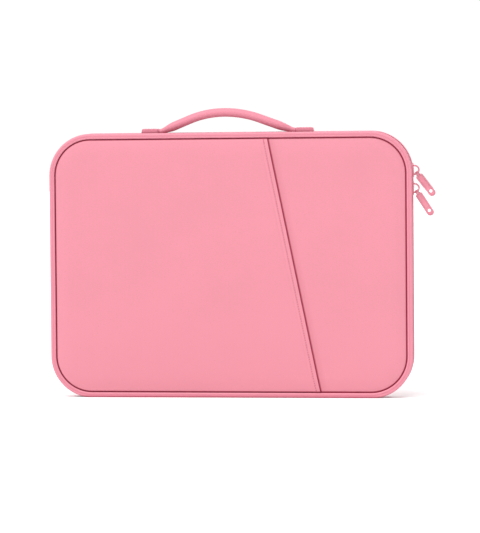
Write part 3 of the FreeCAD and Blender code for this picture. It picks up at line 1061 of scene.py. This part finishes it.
def makeHingeStrip():
    # the fabric strip along the base: one piece from rim to rim, with a raised crease along the zip's line
    low = hingeFrontLow.y
    high = hingeBackHigh.y
    rows = [low + (high - low) * step / 14 for step in range(15)]
    rows += [zipY + offset * mm for offset in (-1.2, -0.9, -0.6, -0.3, 0, 0.3, 0.6, 0.9, 1.2)]
    rows = sorted(set(round(row, 6) for row in rows))
    points = []
    creaseShades = []
    for column in range(hinge["columns"] + 1):
        x = -hingeHalf + 2 * hingeHalf * column / hinge["columns"]
        section = []
        for y in rows:
            fold = bell(y, zipY, 0.5 * mm)
            edge = bell(y, low, 0.5 * mm) + bell(y, high, 0.5 * mm)
            sewn = sewnDips(y, low, high, hinge["stitchInset"], 0.4 * mm)
            wave = 0.03 * mm * noise.noise(Vector((x * 60, y * 60, 4)))
            z = hinge["lift"] + 0.28 * mm * fold + 0.15 * mm * sewn + abs(wave)
            # painted shade in the fold, the stitch dips and along both edges
            section.append((y, z, 0.35 * fold + 0.15 * sewn + 0.3 * edge))
        for y, z, creaseShade in section:
            points.append((x, y, z))
            creaseShades.append(creaseShade)
        for y, z, creaseShade in reversed(section):
            points.append((x, y, z + hinge["thickness"]))
            creaseShades.append(0.0)
    faces = tubeFaces(hinge["columns"] + 1, 2 * len(rows))
    strip = makePiece("base_hinge_strip", points, faces, None, gussetLeather, creaseShades)
    fold = hinge["foldHalfWidth"]
    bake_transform(strip)
    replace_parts(strip, "bottom_gusset_back", "bottom_gusset_front")


makeHingeStrip()


lining = {
    "crown": 0.5 * mm,
    "edgeRound": 0.5 * mm,
    "steps": (0.4, 1.2, 2.5, 5, 9, 15, 24, 36, 52, 72, 96, 116),   # millimetres in from the seam
    "tuckedUnder": 20 * mm,      # both sides together
}


def liningFace(name, top, faceY, backY, side, body, seed):
    # fleece wrapped over its board; side is the way its face looks
    rows = []
    # painted shade round the edge, where the fleece meets the seam
    rows.append([(x, z, faceY - side * lining["edgeRound"], 0.4) for x, z in caseOutline(panelInset, top)])
    for step in lining["steps"]:
        row = []
        for x, z in caseOutline(panelInset + step * mm, top):
            swell = lining["crown"] * smoothStep(step, 0.4, 12)
            ripple = 0.12 * mm * slowWave(x * 2, z * 2, seed) * smoothStep(step, 1, 15)
            row.append((x, z, faceY + side * (swell + ripple), 0.25 * (1 - smoothStep(step, 0, 3))))
        rows.append(row)
    points = [(x, backY, z) for x, z, y, creaseShade in rows[0]]
    creaseShades = [0.4] * len(rows[0])
    for row in rows:
        for x, z, y, creaseShade in row:
            points.append((x, y, z))
            creaseShades.append(creaseShade)
    faces = tubeFaces(len(rows) + 1, len(rows[0]))
    piece = makePiece(name, points, faces, body, liningFleece, creaseShades)
    return piece


frontFleece = liningFace("front_lining_fleece", frontTop, frontLiningHigh.y, frontLiningLow.y, 1,
                         "front_cover", 5.0)
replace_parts(frontFleece, "front_lining")
backFleece = liningFace("back_lining_fleece", backTop, backLiningLow.y, backLiningHigh.y, -1,
                        "back_shell", 6.0)
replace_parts(backFleece, "back_lining")


def bindingProfile(y, side):
    # folded tape that covers the raw seam inside; side is the way its face looks
    low = 4.2 * mm
    high = 9.4 * mm
    rise = 0.45 * mm
    profile = []
    for step in range(9):
        share = step / 8
        puff = 0.35 + 0.65 * math.sin(math.pi * share) ** 0.5
        profile.append((low + (high - low) * share, y + side * rise * puff, 0.0))
    return profile + [(high, y - side * 0.1 * mm, 0.0), (low, y - side * 0.1 * mm, 0.0)]


sweepProfile("front_inner_binding", bindingProfile(frontRimHigh.y, 1), frontTop, "front_cover",
             bindingWeave)
sweepProfile("back_inner_binding", bindingProfile(backRimLow.y, -1), backTop, "back_shell",
             bindingWeave)


def gussetLiningProfile():
    low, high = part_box("gusset_lining")
    outer = gusset["recess"] + gusset["thickness"]
    inner = outer + 0.8 * mm
    # painted shade along the strip's edges
    profile = [(outer, low.y, 0.3), (outer, high.y, 0.3)]
    for step in range(11):
        share = 1 - step / 10
        y = low.y + (high.y - low.y) * share
        depth = inner - 0.1 * mm + 0.3 * mm * math.sin(math.pi * share)
        profile.append((depth, y, 0.3 * (bell(share, 0, 0.1) + bell(share, 1, 0.1))))
    return profile


gussetLining = sweepProfile("gusset_lining_fleece", gussetLiningProfile(), backTop, "back_shell",
                            liningFleece)
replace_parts(gussetLining, "gusset_lining")
print("gusset, hinge strip and linings made")


# zip

teeth = {
    "pitch": 1.5 * mm,
    "length": 2.15 * mm,      # across the zip
    "width": 0.62 * mm,
    "height": 0.55 * mm,
    "overlap": 0.22 * mm,     # past the middle, between the other side's teeth
    "recess": 1.35 * mm,
}


def makeTeeth(name, side, top, body, offset):
    # a row of moulded teeth; side is -1 for the front half
    # each section is (share of the length, width, height)
    sections = ((0.0, 0.45, 0.55), (0.08, 0.9, 0.9), (0.55, 0.8, 0.8),
                (0.74, 1.0, 1.0), (0.93, 0.9, 0.85), (1.0, 0.5, 0.5))
    points = []
    faces = []
    sides = 6
    run = caseOutline(teeth["recess"], top, hingeHalf + 2.6 * mm)
    for place, along, outward in spacedSpots(run, teeth["pitch"], zipY, 1):
        first = len(points)
        place = place + along * offset
        for share, width, height in sections:
            y = zipY + side * (teeth["length"] * (1 - share) - teeth["overlap"])
            for corner in range(sides):
                angle = 2 * math.pi * (corner + 0.5) / sides
                spot = place + along * (teeth["width"] / 2 * width * math.cos(angle))
                spot = spot + outward * (teeth["height"] * height * math.sin(angle))
                points.append((spot.x, y, spot.z))
        for face in tubeFaces(len(sections), sides):
            faces.append(tuple(first + index for index in face))
    return makePiece(name, points, faces, body, toothNylon)


frontTeeth = makeTeeth("front_zip_teeth", -1, frontTop + 1.2 * mm, "front_cover", 0.0)
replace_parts(frontTeeth, "front_zip_coil")
backTeeth = makeTeeth("back_zip_teeth", 1, backTop, "back_shell", teeth["pitch"] / 2)
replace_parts(backTeeth, "back_zip_coil")
print("zip teeth made")


# handle

handle = {
    "slope": 21.0,             # degrees, legs against the level
    "rise": 18.3 * mm,
    "crownShift": 3.0 * mm,    # the soft grip leans a little to the left
    "rootBend": 16 * mm,       # radius of the turn where the legs run out level
    "rootGap": 1.2 * mm,
    "gripRadius": 4.35 * mm,
    "rootRadius": 2.35 * mm,
    "taper": 18 * mm,
    "sides": 28,
    "steps": 96,
    "seamAngle": -72,          # degrees round the grip, below and a little behind
    "seamDepth": 0.3 * mm,
    "coreRadius": 1.9 * mm,
    "coreSides": 12,
    "stitchPitch": 3.0 * mm,
    "stitchStart": 9 * mm,     # from each root
}

tabLeftLow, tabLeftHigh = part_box("handle_tab_left")
tabRightLow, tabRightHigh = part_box("handle_tab_right")
handleX, handleY, handleZ = joints["handle_swing"]["pos_m"]
rootX = tabRightLow.x - handleX - handle["rootGap"]


def handleLine():
    # points and directions along the grip, from the left root to the right one: crown, leg, level root
    slope = math.radians(handle["slope"])
    rootBend = handle["rootBend"]
    share = math.sin(slope) * math.tan(slope) - (1 - math.cos(slope))
    crownBend = (rootX * math.tan(slope) - handle["rise"]) / share - rootBend
    legLength = (rootX - (crownBend + rootBend) * math.sin(slope)) / math.cos(slope)
    crownZ = handleZ + handle["rise"]
    half = (crownBend + rootBend) * slope + legLength
    line = []
    for step in range(handle["steps"] + 1):
        middle = half * (2 * step / handle["steps"] - 1)
        side = math.copysign(1, middle)
        out = abs(middle)
        onCrown = min(out, crownBend * slope) / crownBend
        onLeg = min(max(out - crownBend * slope, 0.0), legLength)
        onRoot = max(out - crownBend * slope - legLength, 0.0) / rootBend
        x = crownBend * math.sin(onCrown) + onLeg * math.cos(slope)
        x += rootBend * (math.sin(slope) - math.sin(slope - onRoot))
        drop = crownBend * (1 - math.cos(onCrown)) + onLeg * math.sin(slope)
        drop += rootBend * (math.cos(slope - onRoot) - math.cos(slope))
        lean = onCrown - onRoot
        shift = handle["crownShift"] * (1 - (x / rootX) ** 2)
        spot = Vector((handleX + side * x - shift, handleY, crownZ - drop))
        along = Vector((math.cos(lean), 0, -side * math.sin(lean)))
        line.append((spot, along, half - out))
    return line


def outFromGrip(along, angle):
    # the way out of the grip at an angle round it
    up = Vector((0, 1, 0)).cross(along) * -1
    return up * math.sin(angle) + Vector((0, 1, 0)) * math.cos(angle)


def gripThickness(fromRoot):
    share = smoothStep(fromRoot, 0, handle["taper"])
    return handle["rootRadius"] + (handle["gripRadius"] - handle["rootRadius"]) * share


def makeHandle():
    points = []
    creaseShades = []
    seam = math.radians(handle["seamAngle"])
    for spot, along, fromRoot in handleLine():
        radius = gripThickness(fromRoot)
        folds = 0.10 * mm * math.sin(fromRoot / (2.3 * mm)) * (1 - smoothStep(fromRoot, 2 * mm, 16 * mm))
        for side in range(handle["sides"]):
            angle = 2 * math.pi * side / handle["sides"]
            away = abs((angle - seam + math.pi) % (2 * math.pi) - math.pi)
            groove = handle["seamDepth"] * math.exp(-(away / 0.16) ** 2)
            swell = 0.04 * mm * noise.noise(Vector((spot.x * 70, angle * 1.3, 2)))
            reach = radius + folds * 0.6 + swell - groove
            points.append(spot + outFromGrip(along, angle) * reach)
            # painted shade: dark in the seam's groove, fainter over the grip's underside round it, and at
            # the roots
            sewn = max(0.6 * math.exp(-(away / 0.12) ** 2), 0.34 * math.exp(-(away / 0.6) ** 2))
            creaseShades.append(max(sewn, 0.35 * (1 - smoothStep(fromRoot, 0, 2.2 * mm))))
    faces = tubeFaces(handle["steps"] + 1, handle["sides"])
    grip = makePiece("handle_grip", points, faces, "handle", handleLeather, creaseShades)
    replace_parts(grip, "handle_cover")


def makeCoreRope():
    # the braided rope inside the grip, along the same line
    points = []
    line = handleLine()
    for spot, along, fromRoot in line:
        for side in range(handle["coreSides"]):
            angle = 2 * math.pi * side / handle["coreSides"]
            reach = handle["coreRadius"] * (1 + 0.04 * math.sin(3 * angle + fromRoot / (1.4 * mm)))
            points.append(spot + outFromGrip(along, angle) * reach)
    faces = tubeFaces(len(line), handle["coreSides"])
    rope = makePiece("handle_core_rope", points, faces, "handle", bindingWeave)
    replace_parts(rope, "handle_core")


def makeHandleStitches():
    # the seam under the grip, sewn from root to root
    seam = math.radians(handle["seamAngle"])
    spots = []
    line = handleLine()
    travelled = 0.0
    nextSpot = handle["stitchStart"]
    length = sum((line[step + 1][0] - line[step][0]).length for step in range(len(line) - 1))
    for step in range(len(line) - 1):
        spot, along, fromRoot = line[step]
        run = (line[step + 1][0] - spot).length
        while nextSpot <= travelled + run and nextSpot < length - handle["stitchStart"]:
            out = outFromGrip(along, seam)
            reach = gripThickness(min(nextSpot, length - nextSpot)) - handle["seamDepth"]
            spots.append((spot + along * (nextSpot - travelled) + out * reach, along, out))
            nextSpot += handle["stitchPitch"]
        travelled += run
    return stitchRow("handle_stitching", spots, "handle", 2.2 * mm, 0.6 * mm, 0.3 * mm)


makeHandle()
makeCoreRope()
makeHandleStitches()

tab = {
    "edge": 0.7 * mm,
    "stitchInset": 1.1 * mm,
    "stitchPitch": 2.3 * mm,
    "slope": 1.6 * mm,         # the outer end leans in by this much
    "collar": ((-0.5, 2.1), (-0.35, 2.75), (0.2, 2.95), (0.9, 2.9),
               (1.35, 2.65), (1.5, 2.05), (1.2, 1.95), (-0.2, 1.95)),   # millimetres along and out
    "collarSides": 24,
}


def makeTab(name, low, high, inwards):
    # a folded strap, sewn flat; inwards is +1 if the handle is to its right
    centreY = (low.y + high.y) / 2
    halfY = (high.y - low.y) / 2
    height = high.z - low.z
    inner = high.x if inwards > 0 else low.x
    outer = low.x if inwards > 0 else high.x
    slopeRun = tab["slope"]
    # side view of the strap from the outer end, over the top, to the inner end
    sideView = [(outer, 0.0), (outer + inwards * 0.25 * mm, 0.6 * mm),
                (outer + inwards * (slopeRun - 0.5 * mm), height - 0.7 * mm),
                (outer + inwards * slopeRun, height - 0.2 * mm),
                (outer + inwards * (slopeRun + 0.7 * mm), height)]
    steps = 10
    start = outer + inwards * (slopeRun + 0.7 * mm)
    for step in range(1, steps + 1):
        x = start + (inner - inwards * 0.6 * mm - start) * step / steps
        sideView.append((x, height))
    sideView += [(inner - inwards * 0.2 * mm, height - 0.2 * mm), (inner, height - 0.6 * mm), (inner, 0.0)]
    points = []
    creaseShades = []
    # across the strap: front edge, up over the rounded top, back edge
    for x, top in sideView:
        section = []
        # painted contact shadow at the strap's bottom edges
        for share, inset in ((0.0, 0.0), (0.5, 0.0), (0.88, 0.04), (0.97, 0.25)):
            section.append((-halfY + tab["edge"] * inset, share * top, 0.3 if share == 0 else 0.0))
        for share in (-0.82, -0.6, -0.3, 0.0, 0.3, 0.6, 0.82):
            dip = 0.10 * mm * bell(abs(share) * halfY, halfY - tab["stitchInset"], 0.4 * mm)
            section.append((share * halfY, max(0.0, top - dip), 0.0))
        for share, inset in ((0.97, 0.25), (0.88, 0.04), (0.5, 0.0), (0.0, 0.0)):
            section.append((halfY - tab["edge"] * inset, share * top, 0.3 if share == 0 else 0.0))
        for y, z, creaseShade in section:
            points.append((x, centreY + y, low.z + z))
            creaseShades.append(creaseShade)
    faces = tubeFaces(len(sideView), len(section))
    return makePiece(name, points, faces, "back_shell", handleLeather, creaseShades)


def makeCollar(name, face, inwards):
    # a turned band of leather where the handle's root goes into its tab
    points = []
    creaseShades = []
    profile = tab["collar"]
    sides = tab["collarSides"]
    for along, radius in profile:
        for side in range(sides):
            angle = 2 * math.pi * side / sides
            x = face + inwards * along * mm
            y = handleY + radius * mm * math.cos(angle)
            points.append((x, y, handleZ + radius * mm * math.sin(angle)))
            # painted shade, deep on the tucked-in ends and faint over the band
            creaseShades.append(0.7 if radius < 2.3 else 0.12)
    faces = tubeFaces(len(profile), sides, closedRows=True, capEnds=False)
    makePiece(name, points, faces, "back_shell", handleLeather, creaseShades)


def makeTabStitches():
    spots = []
    up = Vector((0, 0, 1))
    for low, high, inwards in ((tabLeftLow, tabLeftHigh, 1), (tabRightLow, tabRightHigh, -1)):
        # further in at the sloping outer end
        left = low.x + (3.4 if inwards > 0 else 2.0) * mm
        right = high.x - (2.0 if inwards > 0 else 3.4) * mm
        front = low.y + tab["stitchInset"]
        back = high.y - tab["stitchInset"]
        z = high.z - 0.04 * mm
        count = int((right - left) / tab["stitchPitch"])
        for number in range(count):
            x = left + (number + 0.5) * (right - left) / count
            for y in (front, back):
                spots.append((Vector((x, y, z)), Vector((1, 0, 0)), up))
        for number in range(2):
            y = front + (number + 0.5) * (back - front) / 2
            for x in (left, right):
                spots.append((Vector((x, y, z)), Vector((0, 1, 0)), up))
    return stitchRow("tab_stitching", spots, "back_shell", 1.7 * mm, 0.55 * mm, 0.22 * mm)


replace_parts(makeTab("handle_tab_strap_left", tabLeftLow, tabLeftHigh, 1), "handle_tab_left")
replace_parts(makeTab("handle_tab_strap_right", tabRightLow, tabRightHigh, -1), "handle_tab_right")
makeCollar("handle_collar_left", tabLeftHigh.x, 1)
makeCollar("handle_collar_right", tabRightLow.x, -1)
makeTabStitches()
print("handle and tabs made")


# finishes of the carried-over pieces

carriedOver = {
    "upper_slider_body": sliderEnamel,
    "lower_slider_body": sliderEnamel,
    "upper_slider_bail": sliderEnamel,
    "lower_slider_bail": sliderEnamel,
    "upper_pull_clip": sliderEnamel,
    "lower_pull_clip": sliderEnamel,
    "upper_pull_tab": upperPullEnamel,
    "lower_pull_tab": lowerPullEnamel,
    "front_zip_tape": tapeWeave,
    "back_zip_tape": tapeWeave,
    "front_zip_stops": stopEnamel,
    "back_zip_stops": stopEnamel,
    "front_board": stiffBoard,
    "back_board": stiffBoard,
}
for node, finish in carriedOver.items():
    part = frame["nodes"][node]
    part.data.materials.clear()
    part.data.materials.append(finish)
print("carried-over pieces finished")
